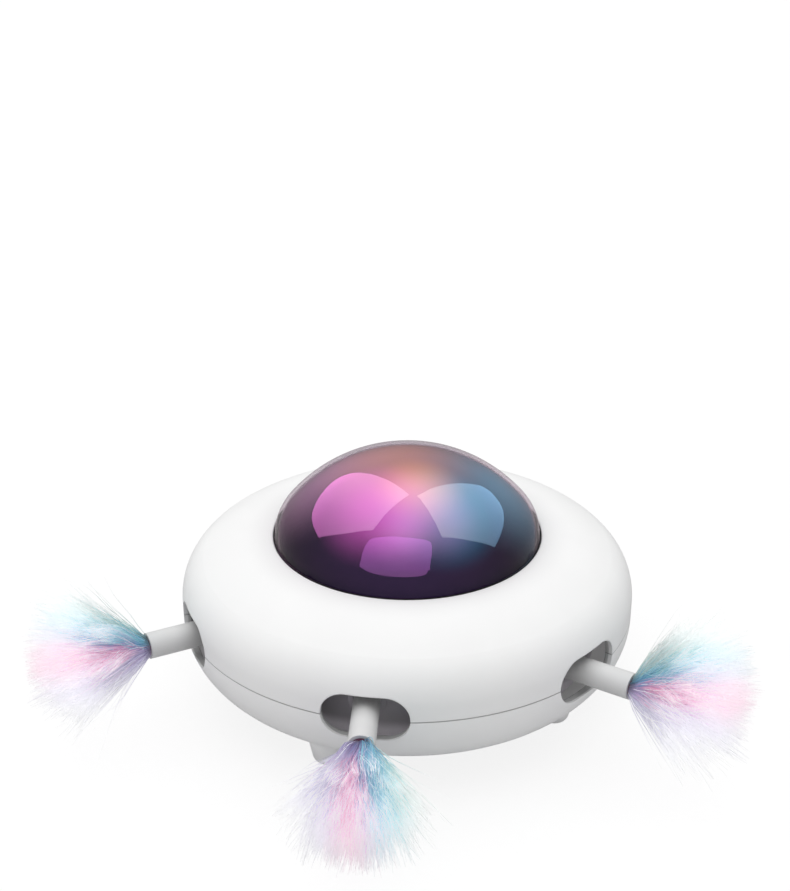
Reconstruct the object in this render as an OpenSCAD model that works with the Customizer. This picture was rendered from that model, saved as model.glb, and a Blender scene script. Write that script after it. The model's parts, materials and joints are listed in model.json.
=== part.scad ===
// Feather toy for cats: a round body with a lit dome, a turntable inside it
// that swings to and fro, and feather wands that reach out through slots.
// Millimetres, +Z up, origin on the floor below the body's axis, front towards -Y.
// Azimuths count from the front, towards +X.

/* [Body] */
// Outer diameter of the body at its band
body_d = 180; // [165:1:200]
// Thickness of the moulded shells
shell_wall = 3; // [2.4:0.1:3.6]
// Height of the underside above the floor
foot_h = 12.4; // [9:0.1:16]
// Radius of the curve from the underside to the band
belly_r = 24.7; // [22:0.1:28]
// Straight band below the parting line
band_low = 1.9; // [0.5:0.1:4]
// Straight band above the parting line
band_high = 5.6; // [4:0.1:9]
// Radius of the shoulder curve above the band
shoulder_r = 19.2; // [17:0.1:23]
// Rise of the crown above the shoulder curve
crown_rise = 5.2; // [3:0.1:9]
// Depth of the groove along the parting line
seam_cut = 0.3; // [0.1:0.05:0.6]
// Diameter of a screw column that joins the shells
column_d = 8.4; // [7:0.1:10]

/* [Feet] */
// Number of feet
foot_count = 4; // [3:1:6]
// Distance of a foot's centre in from the band
foot_in = 24; // [22:0.5:34]
// Azimuth of the first foot
foot_az = -17.5; // [-60:0.5:60]
// Diameter of a foot where it meets the underside
foot_d = 16; // [14:0.5:18]
// Draft of a foot's side
foot_draft = 12; // [4:0.5:14]
// Rounding of a foot's lower edge
foot_round = 3.2; // [1:0.1:4]
// Diameter of a rubber pad
pad_d = 5.6; // [4:0.1:6]
// Thickness of a rubber pad
pad_t = 2; // [1:0.1:3]
// How far a pad stands out of its foot
pad_proud = 0.5; // [0.3:0.1:0.9]

/* [Dome] */
// Diameter of the dome
dome_d = 104.8; // [96:0.2:110]
// Radius of the dome's side curve
dome_side_r = 15.5; // [12:0.5:22]
// Rise of the dome's top curve above its side curve
dome_rise = 17.5; // [6:0.1:20]
// Wall of the dome
dome_wall = 1.4; // [1.2:0.1:2]
// Width of the dome's flange under the crown
flange_w = 4; // [3:0.1:5]
// Thickness of the dome's flange
flange_t = 2; // [1.4:0.1:2.6]
// Gap between the dome and the crown, which the seal fills
seal_gap = 0.6; // [0.5:0.05:1]
// Thickness of the seal under the crown
seal_t = 0.6; // [0.4:0.05:1]
// How far the seal stands up beside the dome
seal_lip = 0.15; // [0.1:0.05:0.6]

/* [Light] */
// Depth of the light tray
tray_depth = 4.9; // [4.4:0.1:5.4]
// Wall of the light tray
tray_wall = 2; // [1.6:0.1:2.2]
// Gap between the dome and the diffuser inside it
diffuser_gap = 0.4; // [0.3:0.1:1]
// Wall of the diffuser
diffuser_wall = 1.2; // [1:0.1:1.4]
// Number of lamps in the ring on the lamp board
led_count = 6; // [3:1:12]
// Width of a lamp
led_w = 5; // [3:0.5:6]
// Distance of a lamp from the body's axis
led_at = 24; // [18:0.5:30]
// Diameter of the cable to the lamps
cable_d = 2.4; // [1.6:0.1:3]

/* [Slots] */
// Number of slots round the body
slot_count = 6; // [6:1:6]
// Width of a slot
slot_w = 33.4; // [31:0.2:38]
// Height of a slot
slot_h = 18.5; // [16:0.5:20]
// Height of the slots and wands above the parting line
wand_rise = 0.8; // [-1:0.1:2]

/* [Wands] */
// Azimuths of the slots with fitted wands
wand_az = [-60, 0, 60];
// Slant of a wand to the radius through its slot
wand_slant = 7; // [0:0.5:8]
// Diameter of a wand's tube
tube_d = 10.2; // [9:0.1:11]
// Wall of a wand's tube
tube_wall = 1.2; // [0.8:0.1:1.6]
// How far a tube stands out of the body
tube_out = 17.5; // [10:0.5:25]
// Length of the plug that holds the feathers
plug_l = 10; // [6:0.5:14]
// Length of a feather tuft
feather_l = 46; // [30:1:55]
// Half angle of a feather tuft's fan
feather_fan = 32; // [20:1:36]
// Tilt of each tuft above the level, from left to right
feather_tilt = [10, -22, 14];

/* [Turntable] */
// Wall round a wand's socket
socket_wall = 2.1; // [1.6:0.1:2.6]
// Gap between the screw columns and the turntable's skirt
skirt_gap = 5.8; // [3:0.1:7]
// Wall of the skirt
skirt_wall = 3; // [2:0.1:4]
// Height of the skirt above the wands' axis
skirt_up = 10.6; // [9.6:0.1:11]
// Depth of the skirt below the wands' axis
skirt_down = 16.5; // [9.6:0.1:16.8]
// Swing of the turntable to each side
swing = 7; // [4:0.5:7]
// Height of the deck above the wands' axis
deck_lift = 10.5; // [10:0.1:12]
// Thickness of the deck
deck_t = 2.5; // [2:0.1:3]
// Width of a rib above a socket
rib_w = 8; // [5:0.5:10]
// Diameter of the spindle
spindle_d = 8; // [7:0.1:9]
// Bore of the spindle
spindle_bore = 5.2; // [4.4:0.1:5.6]
// Wall of the bush
bush_wall = 1.95; // [1.4:0.05:2.4]
// Wall of the hub
hub_wall = 4.15; // [3:0.05:5]

/* [Drive] */
// Module of the gears
gear_m = 1; // [0.9:0.05:1.05]
// Teeth of the turntable's gear
deck_teeth = 48; // [48:1:50]
// Teeth of the idler's small gear
small_teeth = 12; // [12:1:13]
// Teeth of the idler's large gear
large_teeth = 36; // [34:1:36]
// Teeth of the motor's pinion
pinion_teeth = 12; // [12:1:13]
// Width of the turntable's gear
gear_w = 4.5; // [3.5:0.1:5]
// Width of the idler's large gear
large_w = 4; // [3:0.1:4.5]
// Play between meshing teeth, at the pitch circle
backlash = 0.2; // [0.1:0.02:0.3]
// Azimuth of the idler
idler_az = 150; // [140:1:160]
// Azimuth of the motor
motor_az = 197; // [190:1:205]
// Diameter of the motor
motor_d = 20; // [16:0.5:22]
// Width of the motor across its flats
motor_flat = 15.4; // [12:0.2:16]
// Length of the motor
motor_l = 20; // [16:0.5:21]
// Diameter of the motor's shaft
shaft_d = 2; // [1.5:0.1:2.5]
// Diameter of the idler's axle
axle_d = 3; // [2:0.1:3.5]
// Thickness of the drive bracket
bracket_t = 2; // [1.8:0.1:2.4]

/* [Power] */
// Diameter of the battery cell
cell_d = 18.2; // [14:0.2:18.4]
// Length of the battery cell
cell_l = 65; // [50:0.5:66]
// Distance of the cell in front of the body's axis
cell_at = 27; // [25:0.5:28]
// Thickness of the cell's clamp
clamp_t = 1.7; // [1.2:0.1:2]
// Width of the cell's clamp
clamp_w = 10; // [8:0.5:14]
// Thickness of the control board
board_t = 1.6; // [1.2:0.1:1.8]
// Height of the control board above the inner floor
board_lift = 5.6; // [5.2:0.1:6]
// Distance of the power button in from the band
button_in = 30; // [29:0.5:32]
// Diameter of the power button
button_d = 12; // [8:0.5:12.5]
// How far the power button stands out of the underside
button_proud = 1.4; // [1:0.1:2]
// Travel of the power button
button_travel = 0.8; // [0.5:0.1:0.9]
// Width of the charging socket
port_w = 8.94; // [8:0.02:9]
// Height of the charging socket
port_h = 3.26; // [2.8:0.02:3.3]

/* [Fits] */
// Radial clearance of turning and sliding fits
run_gap = 0.05; // [0.03:0.01:0.08]
// Clearance between faces that pass each other
face_gap = 0.3; // [0.2:0.05:0.4]
// Diameter of a screw
screw_d = 3; // [2.5:0.1:3.2]
// Diameter of a small screw
small_screw_d = 2; // [1.6:0.1:2.2]

/* [Hidden] */
$fn = 64;

// Heights of the body
body_r = body_d / 2;
band_bottom = foot_h + belly_r;
parting_z = band_bottom + band_low;
band_top = parting_z + band_high;
crown_z = band_top + shoulder_r + crown_rise;
floor_z = foot_h + shell_wall;
wand_z = parting_z + wand_rise;
foot_at = body_r - foot_in;
cut = 1;

// Dome, seal and light tray
dome_r = dome_d / 2;
open_r = dome_r + seal_gap;
flange_r = open_r + flange_w;
seat_t = 0.5;
seat_w = flange_w + 2;
seat_z = crown_z - shell_wall - seat_t;
flange_z = seat_z - seal_t - flange_t;
tray_floor_z = flange_z - tray_depth + tray_wall;
tray_in_r = dome_r - dome_wall - 0.2;
ledge_w = 1.6;
ledge_z = flange_z - 1.5;
diffuser_flange_t = 1.2;
led_board_t = 1.2;
led_board_r = tray_in_r - ledge_w - 4.6;
led_h = 1.6;
lug_at = flange_r + 5;
lug_w = 8;
lug_az = [90, 210, 330];
boss_r = 3.5;
crown_edge = 0.4;

// Screw columns
column_at = flange_r + column_d / 2 + 1.6;
column_az = [30, 150, 270];
column_joint_z = parting_z + 2;
column_seat_z = column_joint_z - 7;
column_hole_top = column_joint_z + 11;

// Screws: the head's diameter and height follow the shank
function head_d(d) = 1.8 * d;
function head_h(d) = 0.6 * d;
hole_gap = 0.05;

// Turntable
skirt_r = column_at + column_d / 2 + skirt_gap + skirt_wall;
mouth_r = skirt_r + 1;
socket_bore_r = tube_d / 2 + run_gap;
socket_r = socket_bore_r + socket_wall;
deck_z = wand_z + deck_lift;
deck_r = column_at - column_d / 2 - 4;
spindle_r = spindle_d / 2;
bush_in_r = spindle_r + run_gap;
bush_r = bush_in_r + bush_wall;
hub_in_r = bush_r + hole_gap;
hub_r = hub_in_r + hub_wall;
hub_top = deck_z + deck_t + 0.7;
hub_bottom = deck_z - gear_w - 1.6;
washer_t = 0.8;
spindle_boss_top = hub_bottom - face_gap - washer_t;
spindle_boss_r = spindle_r + 5;
spindle_z = floor_z + 4.5;
clip_t = 1;
clip_r = spindle_r + 3.5;
groove_r = spindle_r - 0.5;
spindle_top = hub_top + face_gap + clip_t + 1.2;

// Gears
pressure = 20;
addendum = 0.75;
dedendum = 1;
idler_dist = gear_m * (deck_teeth + small_teeth) / 2;
motor_dist = gear_m * (large_teeth + pinion_teeth) / 2;
large_z = deck_z - gear_w - 1.2 - large_w;
large_tip_r = gear_m * (large_teeth / 2 + addendum);
idler_top = deck_z - 0.4;
socket_in = idler_dist + large_tip_r + 3.25;
function at(r, az) = [r * sin(az), -r * cos(az)];
idler_at = at(idler_dist, idler_az);
// The motor stands on the circle round the idler, turned from the line to the body's axis
motor_turn = (motor_az - idler_az) / 2 + 90;
motor_at = idler_at + motor_dist * [sin(idler_az + motor_turn), -cos(idler_az + motor_turn)];
function heading(p, q) = atan2(q[1] - p[1], q[0] - p[0]);
deck_to_idler = heading([0, 0], idler_at);
idler_to_motor = heading(idler_at, motor_at);
bracket_top = large_z - 1;
bracket_z = bracket_top - bracket_t;
post_d = 6.4;
bracket_posts = [[-27, 18], [30, 15], [-22, 38]];
motor_boss_d = 6;
motor_boss_h = 1.2;
motor_screw_at = 6.4;
shaft_z = bracket_z - 5;
pinion_z = bracket_top + 0.6;
pinion_top = large_z + large_w + 0.2;

// Wands
tube_r = tube_d / 2;
slant_r = body_r - shell_wall / 2;
round_steps = 12;
tube_in = socket_in + face_gap;
tube_end = body_r + tube_out;
plug_r = tube_r - tube_wall - run_gap;

// Battery and control board
cell_r = cell_d / 2;
cell_z = floor_z + 0.8 + cell_r;
saddle_x = 18;
saddle_t = 4;
clamp_foot = 6;
clamp_post_y = cell_r + hole_gap + clamp_t + 3;
board_z = floor_z + board_lift;
button_at = body_r - button_in;
board_near = button_at - 9.5;
board_far = body_r - shell_wall - 8.5;
board_w = 26;
board_tip_w = 20;
board_post_x = 9.8;
board_posts = [[-board_post_x, button_at - 6], [-board_post_x, button_at + 8], [board_post_x, button_at + 8]];
board_post_d = 4.4;
port_l = 8.2;
port_end = board_far + 5.6;
port_z = board_z + board_t + port_h / 2;
// Notch in the turntable's skirt that passes over the charging socket
skirt_z = wand_z - skirt_down;
notch_w = port_w + 2 * (skirt_r * sin(swing) + 2 * face_gap);
notch_z = port_z + port_h / 2 + 2 * face_gap;
port_wall = 0.35;
port_gap = 0.35;
button_flange_t = 1.3;
button_flange_z = floor_z + face_gap;
button_flange_top = button_flange_z + button_flange_t;
switch_w = 6;
switch_stem_z = button_flange_top + button_travel + face_gap;
switch_z = switch_stem_z + 0.6;

// Cable to the lamps, in one upright plane through the body's axis
cable_az = 170;
cable_r = cable_d / 2;
cable_z = floor_z + 2.6;
cable_bend = 3;
cable_end_bend = 2;
cable_reach = button_at - 6;
channel_w = cable_d + 0.8;

// Turns a piece drawn at the front to an azimuth
module to(az) {
    rotate([0, 0, az]) children();
}

// Turns a piece drawn along the front radius to an azimuth, slanted about the middle of the slot
module to_wand(az) {
    to(az) translate([0, -slant_r, 0]) rotate([0, 0, wand_slant]) translate([0, slant_r, 0]) children();
}

// Radius of the top curve that meets a side curve smoothly:
// a is the side centre's distance out, s the side radius, rise the extra height
function arch_r(a, s, rise) = (a * a + (s + rise) * (s + rise) - s * s) / (2 * rise);

// Half section of an arch of two curves above the height z0, drawn in by t
module arch_2d(x0, z0, a, s, rise, t) {
    top_r = arch_r(a, s, rise);
    top_z = z0 + s + rise - top_r;
    u = [a, z0 - top_z] / (top_r - s);
    intersection() {
        translate([x0, top_z]) circle(top_r - t);
        polygon([[x0, z0], [x0 + a, z0], [x0 + a, z0] + 2 * s * u, [x0, z0 + 2 * (s + rise)]]);
    }
    intersection() {
        translate([x0 + a, z0]) circle(s - t);
        translate([x0, z0]) square([a + s, s]);
    }
}

// Half section of the body without its dome, drawn in by t
module body_2d(t) {
    arch_2d(open_r, band_top, body_r - shoulder_r - open_r, shoulder_r, crown_rise, t);
    translate([0, foot_h + t]) square([body_r - belly_r, band_top - foot_h - t]);
    translate([0, band_bottom]) square([body_r - t, band_top - band_bottom]);
    translate([0, band_bottom]) square([open_r, crown_z - t - band_bottom]);
    intersection() {
        translate([body_r - belly_r, band_bottom]) circle(belly_r - t);
        translate([body_r - belly_r, foot_h]) square([belly_r, belly_r]);
    }
}

// Outline of a slot with round ends
module stadium(w, h) {
    square([w - h, h], center = true);
    for (side = [-1, 1]) translate([side * (w - h) / 2, 0]) circle(h / 2);
}

// Groove that breaks the edges of both shells at the parting line
module seam_2d() {
    translate([body_r, parting_z]) rotate(45) square(seam_cut * sqrt(2), center = true);
}

module slot_cutters() {
    for (i = [0 : slot_count - 1]) to(360 / slot_count * i)
        translate([0, -mouth_r, wand_z]) rotate([90, 0, 0])
            linear_extrude(body_r) stadium(slot_w, slot_h);
}

// Upright cylinder between two heights
module post(p, d, z0, z1) {
    translate([p[0], p[1], z0]) cylinder(d = d, h = z1 - z0);
}

// Screw pointing up, with its head below the height z
module screw_up(p, d, z, length) {
    post(p, d, z - 0.1, z + length);
    post(p, head_d(d), z - head_h(d), z);
}

// Screw pointing down, with its head above the height z
module screw_down(p, d, z, length) {
    post(p, d, z - length, z + 0.1);
    post(p, head_d(d), z, z + head_h(d));
}

module upper_shell() {
    color("white") difference() {
        union() {
            rotate_extrude() difference() {
                union() {
                    difference() {
                        body_2d(0);
                        body_2d(shell_wall);
                    }
                    translate([open_r - cut, seat_z]) square([seat_w + cut, seat_t + shell_wall / 2]);
                }
                translate([0, -cut]) square([body_r + cut, parting_z + cut]);
                translate([0, parting_z - cut]) square([open_r, crown_z]);
                translate([open_r, crown_z]) rotate(45) square(crown_edge * sqrt(2), center = true);
                seam_2d();
            }
            intersection() {
                rotate_extrude() body_2d(shell_wall / 2);
                union() {
                    for (az = column_az) post(at(column_at, az), column_d, column_joint_z, crown_z);
                    for (az = lug_az) post(at(lug_at, az), 2 * boss_r, flange_z, crown_z);
                }
            }
        }
        slot_cutters();
        for (az = column_az)
            post(at(column_at, az), screw_d + 2 * hole_gap, column_joint_z - cut, column_hole_top);
        for (az = lug_az)
            post(at(lug_at, az), small_screw_d + 2 * hole_gap, flange_z - cut, seat_z);
    }
}

// Foot that narrows downwards to a rounded lower edge; the rounding ends where it touches the sloped side
module foot() {
    round_z = pad_proud + foot_round;
    top_z = floor_z - 0.4;
    slope = tan(foot_draft);
    round_x = foot_d / 2 - (foot_h - round_z) * slope - foot_round / cos(foot_draft);
    turn = (90 - foot_draft) / round_steps;
    rounding = [for (k = [0 : round_steps])
        [round_x + foot_round * sin(turn * k), round_z - foot_round * cos(turn * k)]];
    side_top = [foot_d / 2 + (top_z - foot_h) * slope, top_z];
    rotate_extrude() polygon(concat([[0, pad_proud]], rounding, [side_top, [0, top_z]]));
}

module at_feet() {
    for (i = [0 : foot_count - 1]) to(foot_az + 360 / foot_count * i)
        translate([0, -foot_at, 0]) children();
}

module lower_shell() {
    pilot = screw_d + 2 * hole_gap;
    small_pilot = small_screw_d + 2 * hole_gap;
    post_z = foot_h + shell_wall / 2;
    color("whitesmoke") difference() {
        union() {
            rotate_extrude() difference() {
                body_2d(0);
                body_2d(shell_wall);
                translate([0, parting_z]) square([body_r + cut, crown_z]);
                seam_2d();
            }
            at_feet() foot();
            for (az = column_az) post(at(column_at, az), column_d, post_z, column_joint_z);
            post([0, 0], 2 * spindle_boss_r, post_z, spindle_boss_top);
            for (p = bracket_posts) post(p, post_d, post_z, bracket_z);
            for (p = board_posts) post(p, board_post_d, post_z, board_z);
            for (side = [-1, 1]) {
                post([0, side * clamp_post_y - cell_at], post_d, post_z, cell_z);
                translate([side * saddle_x - saddle_t / 2, -cell_at - cell_r, post_z])
                    cube([saddle_t, 2 * cell_r, cell_z - cell_r / 2 - post_z]);
            }
        }
        slot_cutters();
        at_feet() post([0, 0], pad_d, -cut, pad_t);
        for (az = column_az) {
            post(at(column_at, az), head_d(screw_d) + 2 * face_gap, 0, column_seat_z);
            post(at(column_at, az), pilot, 0, column_joint_z + cut);
        }
        post([0, 0], spindle_d + 2 * hole_gap, spindle_z, spindle_boss_top + cut);
        post([0, 0], spindle_bore, floor_z + 0.4, spindle_z + cut);
        to(cable_az) translate([-channel_w / 2, -spindle_boss_r - cut, cable_z - channel_w / 2])
            cube([channel_w, spindle_boss_r + cut, channel_w]);
        for (p = bracket_posts) post(p, small_pilot, bracket_z - 8, bracket_z + cut);
        for (p = board_posts) post(p, small_pilot, floor_z, board_z + cut);
        for (side = [-1, 1])
            post([0, side * clamp_post_y - cell_at], small_pilot, cell_z - 7, cell_z + cut);
        translate([-cell_l / 2, -cell_at, cell_z]) rotate([0, 90, 0])
            cylinder(r = cell_r + hole_gap, h = cell_l);
        post([0, button_at], button_d + 2 * run_gap, 0, floor_z + cut);
        translate([0, body_r + cut, port_z]) rotate([90, 0, 0])
            linear_extrude(2 * shell_wall + 10) stadium(port_w + 2 * port_gap, port_h + 2 * port_gap);
    }
}

module dome() {
    color("indigo", 0.6) rotate_extrude() {
        difference() {
            arch_2d(0, crown_z, dome_r - dome_side_r, dome_side_r, dome_rise, 0);
            arch_2d(0, crown_z, dome_r - dome_side_r, dome_side_r, dome_rise, dome_wall);
        }
        translate([dome_r - dome_wall, flange_z]) square([dome_wall, crown_z - flange_z]);
        translate([dome_r - dome_wall, flange_z]) square([flange_r - dome_r + dome_wall, flange_t]);
    }
}

module dome_seal() {
    color("black") rotate_extrude() {
        translate([dome_r + hole_gap, seat_z - seal_t])
            square([seal_gap - 2 * hole_gap, crown_z + seal_lip - seat_z + seal_t]);
        translate([dome_r + hole_gap, seat_z - seal_t])
            square([flange_r - dome_r - 2 * hole_gap, seal_t]);
    }
}

module light_diffuser() {
    inset = dome_wall + diffuser_gap;
    in_r = dome_r - inset - diffuser_wall;
    color("ghostwhite", 0.8) rotate_extrude() {
        difference() {
            arch_2d(0, crown_z, dome_r - dome_side_r, dome_side_r, dome_rise, inset);
            arch_2d(0, crown_z, dome_r - dome_side_r, dome_side_r, dome_rise, inset + diffuser_wall);
        }
        translate([in_r, ledge_z]) square([diffuser_wall, crown_z - ledge_z]);
        translate([in_r, ledge_z]) square([tray_in_r - hole_gap - in_r, diffuser_flange_t]);
    }
}

module light_tray() {
    bottom = flange_z - tray_depth;
    color("white") difference() {
        union() {
            rotate_extrude() {
                translate([0, bottom]) square([tray_in_r + tray_wall, tray_wall]);
                translate([tray_in_r - ledge_w, bottom])
                    square([ledge_w + tray_wall, ledge_z - bottom]);
                translate([tray_in_r, bottom]) square([tray_wall, tray_depth]);
                translate([tray_in_r, flange_z - tray_wall])
                    square([flange_r - tray_in_r, tray_wall]);
            }
            for (az = lug_az) to(az) {
                translate([-lug_w / 2, -lug_at, flange_z - tray_wall])
                    cube([lug_w, lug_at - flange_r + 2, tray_wall]);
                post([0, -lug_at], lug_w, flange_z - tray_wall, flange_z);
            }
        }
        post([0, 0], spindle_bore + 1.6, bottom - cut, tray_floor_z + cut);
        for (az = lug_az)
            post(at(lug_at, az), small_screw_d + 2 * hole_gap, bottom - cut, flange_z + cut);
    }
}

module led_board() {
    color("darkgreen") post([0, 0], 2 * led_board_r, tray_floor_z, tray_floor_z + led_board_t);
}

module leds() {
    z = tray_floor_z + led_board_t;
    places = concat([[0, 0]], [for (i = [0 : led_count - 1]) at(led_at, 360 / led_count * i)]);
    color("lightyellow") for (p = places) translate([p[0] - led_w / 2, p[1] - led_w / 2, z]) {
        cube([led_w, led_w, led_h / 2]);
        translate([led_w / 2, led_w / 2, 0]) cylinder(d = led_w - 1, h = led_h);
    }
}

module tray_screws() {
    color("silver") for (az = lug_az)
        screw_up(at(lug_at, az), small_screw_d, flange_z - tray_wall, tray_wall + 2);
}

module turntable() {
    color("dimgray") difference() {
        union() {
            post([0, 0], 2 * deck_r, deck_z, deck_z + deck_t);
            post([0, 0], 2 * hub_r, hub_bottom, hub_top);
            difference() {
                post([0, 0], 2 * skirt_r, skirt_z, wand_z + skirt_up);
                post([0, 0], 2 * (skirt_r - skirt_wall), skirt_z - cut, wand_z + skirt_up + cut);
                translate([-notch_w / 2, skirt_r - 2 * skirt_wall, skirt_z - cut])
                    cube([notch_w, 3 * skirt_wall, notch_z - skirt_z + cut]);
            }
            for (i = [0 : slot_count - 1]) to_wand(360 / slot_count * i) {
                translate([0, -socket_in + 2, wand_z]) rotate([90, 0, 0])
                    cylinder(r = socket_r, h = mouth_r - socket_in + 2);
                translate([-rib_w / 2, -skirt_r + skirt_wall / 2, wand_z])
                    cube([rib_w, skirt_r - skirt_wall / 2 - socket_in + 2, deck_lift + deck_t]);
            }
        }
        post([0, 0], 2 * hub_in_r, hub_bottom - cut, hub_top + cut);
        for (i = [0 : slot_count - 1]) to_wand(360 / slot_count * i)
            translate([0, -socket_in, wand_z]) rotate([90, 0, 0])
                cylinder(r = socket_bore_r, h = body_r);
    }
}

// Gear outline: teeth with involute sides, the first one centred on the angle start
function involute(angle) = tan(angle) * 180 / PI - angle;
function polar(r, angle) = r * [cos(angle), sin(angle)];
module gear_2d(teeth, start) {
    pitch_r = gear_m * teeth / 2;
    base_r = pitch_r * cos(pressure);
    root_r = pitch_r - gear_m * dedendum;
    tip_r = pitch_r + gear_m * addendum;
    half = 90 / teeth - backlash / 4 / pitch_r * 180 / PI + involute(pressure);
    from = max(root_r, base_r);
    steps = 3;
    flank = [for (i = [0 : steps]) from + (tip_r - from) * i / steps];
    radii = root_r < base_r ? concat([root_r], flank) : flank;
    last = len(radii) - 1;
    function width(r) = half - (r > base_r ? involute(acos(base_r / r)) : 0);
    polygon([for (tooth = [0 : teeth - 1], side = [-1, 1], i = [0 : last])
        let (r = radii[side < 0 ? i : last - i])
        polar(r, start + 360 / teeth * tooth + side * width(r))]);
}

module turntable_gear() {
    color("ivory") difference() {
        translate([0, 0, deck_z - gear_w]) linear_extrude(gear_w) gear_2d(deck_teeth, deck_to_idler);
        post([0, 0], 2 * (hub_r + hole_gap), deck_z - gear_w - cut, deck_z + cut);
    }
}

module hub_bush() {
    color("goldenrod") difference() {
        post([0, 0], 2 * bush_r, hub_bottom, hub_top);
        post([0, 0], 2 * bush_in_r, hub_bottom - cut, hub_top + cut);
    }
}

module spindle() {
    groove_z = hub_top + face_gap - 0.05;
    color("silver") difference() {
        post([0, 0], spindle_d, spindle_z, spindle_top);
        post([0, 0], spindle_bore, spindle_z - cut, spindle_top + cut);
        translate([0, 0, groove_z]) difference() {
            cylinder(r = spindle_r + cut, h = clip_t + 0.1);
            translate([0, 0, -cut]) cylinder(r = groove_r, h = clip_t + 2 * cut);
        }
    }
}

module thrust_washer() {
    color("gold") difference() {
        post([0, 0], 2 * spindle_boss_r - 1, spindle_boss_top, spindle_boss_top + washer_t);
        post([0, 0], spindle_d + 4 * hole_gap, spindle_boss_top - cut, spindle_boss_top + washer_t + cut);
    }
}

module retaining_clip() {
    z = hub_top + face_gap;
    color("gray") difference() {
        post([0, 0], 2 * clip_r, z, z + clip_t);
        post([0, 0], 2 * (groove_r + hole_gap), z - cut, z + clip_t + cut);
        translate([-groove_r * 0.8, 0, z - cut]) cube([groove_r * 1.6, clip_r + cut, clip_t + 2 * cut]);
    }
}

module idler_gear() {
    color("wheat") translate([idler_at[0], idler_at[1], 0]) difference() {
        union() {
            translate([0, 0, large_z]) linear_extrude(large_w) gear_2d(large_teeth, idler_to_motor);
            translate([0, 0, large_z]) linear_extrude(idler_top - large_z)
                gear_2d(small_teeth, deck_to_idler + 180 + 180 / small_teeth);
        }
        post([0, 0], axle_d + 2 * run_gap, large_z - cut, idler_top + cut);
    }
}

module idler_axle() {
    color("silver") {
        post(idler_at, axle_d, bracket_z, idler_top);
        post(idler_at, axle_d + 2, bracket_top, large_z - face_gap);
    }
}

module motor() {
    z = bracket_z - motor_l;
    color("silver") translate([motor_at[0], motor_at[1], 0]) difference() {
        union() {
            intersection() {
                post([0, 0], motor_d, z, bracket_z);
                translate([-motor_d / 2, -motor_flat / 2, z]) cube([motor_d, motor_flat, motor_l]);
            }
            post([0, 0], motor_boss_d, bracket_z - cut, bracket_z + motor_boss_h);
        }
        post([0, 0], shaft_d + 2 * run_gap, shaft_z, bracket_z + motor_boss_h + cut);
        for (side = [-1, 1])
            post([side * motor_screw_at, 0], small_screw_d + 2 * hole_gap, bracket_z - 3, bracket_z + cut);
    }
}

module motor_shaft() {
    color("gray") post(motor_at, shaft_d, shaft_z + face_gap, pinion_top + 0.2);
}

module motor_pinion() {
    color("ivory") translate([motor_at[0], motor_at[1], 0]) difference() {
        translate([0, 0, pinion_z]) linear_extrude(pinion_top - pinion_z)
            gear_2d(pinion_teeth, idler_to_motor + 180 + 180 / pinion_teeth);
        post([0, 0], shaft_d + 2 * hole_gap, pinion_z - cut, pinion_top + cut);
    }
}

// Flat bar between two points
module bar(p, q, w) {
    translate(p) rotate(heading(p, q)) translate([0, -w / 2]) square([norm(q - p), w]);
}

module drive_bracket() {
    screw_hole = small_screw_d + 2 * hole_gap;
    sink_d = head_d(small_screw_d) + 2 * hole_gap;
    sink_z = bracket_top - head_h(small_screw_d);
    screws = concat(bracket_posts, [for (side = [-1, 1]) motor_at + [side * motor_screw_at, 0]]);
    color("lightsteelblue") difference() {
        translate([0, 0, bracket_z]) linear_extrude(bracket_t) {
            translate(motor_at) circle(d = motor_d);
            translate(idler_at) circle(d = axle_d + 8);
            for (p = bracket_posts) translate(p) circle(d = post_d + 1);
            bar(bracket_posts[0], motor_at, post_d);
            bar(bracket_posts[2], motor_at, post_d);
            bar(motor_at, idler_at, post_d + 2);
            bar(idler_at, bracket_posts[1], post_d);
        }
        post(motor_at, motor_boss_d + 4 * hole_gap, bracket_z - cut, bracket_top + cut);
        post(idler_at, axle_d + 2 * hole_gap, bracket_z - cut, bracket_top + cut);
        for (p = screws) {
            post(p, screw_hole, bracket_z - cut, bracket_top + cut);
            post(p, sink_d, sink_z, bracket_top + cut);
        }
    }
}

module bracket_screws() {
    z = bracket_top - head_h(small_screw_d);
    color("silver") for (p = bracket_posts) screw_down(p, small_screw_d, z, 7);
}

module motor_screws() {
    z = bracket_top - head_h(small_screw_d);
    color("silver") for (side = [-1, 1])
        screw_down(motor_at + [side * motor_screw_at, 0], small_screw_d, z, z - bracket_z + 2.5);
}

module battery_cell() {
    nub = 1.2;
    color("royalblue") translate([-cell_l / 2, -cell_at, cell_z]) rotate([0, 90, 0]) {
        cylinder(r = cell_r, h = cell_l - nub);
        cylinder(r = cell_r / 3, h = cell_l);
    }
}

module battery_clamp() {
    in_r = cell_r + hole_gap;
    out_r = in_r + clamp_t;
    foot_l = clamp_post_y + clamp_foot / 2;
    color("white") translate([0, -cell_at, cell_z]) difference() {
        union() {
            translate([-clamp_w / 2, 0, 0]) rotate([0, 90, 0]) cylinder(r = out_r, h = clamp_w);
            translate([-clamp_w / 2, -foot_l, 0]) cube([clamp_w, 2 * foot_l, clamp_t]);
        }
        translate([-clamp_w, -foot_l - cut, -out_r - cut])
            cube([2 * clamp_w, 2 * foot_l + 2 * cut, out_r + cut]);
        translate([-clamp_w, 0, 0]) rotate([0, 90, 0]) cylinder(r = in_r, h = 2 * clamp_w);
        for (side = [-1, 1])
            post([0, side * clamp_post_y], small_screw_d + 2 * hole_gap, -cut, clamp_t + cut);
    }
}

module clamp_screws() {
    color("silver") for (side = [-1, 1])
        screw_down([0, side * clamp_post_y - cell_at], small_screw_d, cell_z + clamp_t, clamp_t + 5);
}

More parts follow.
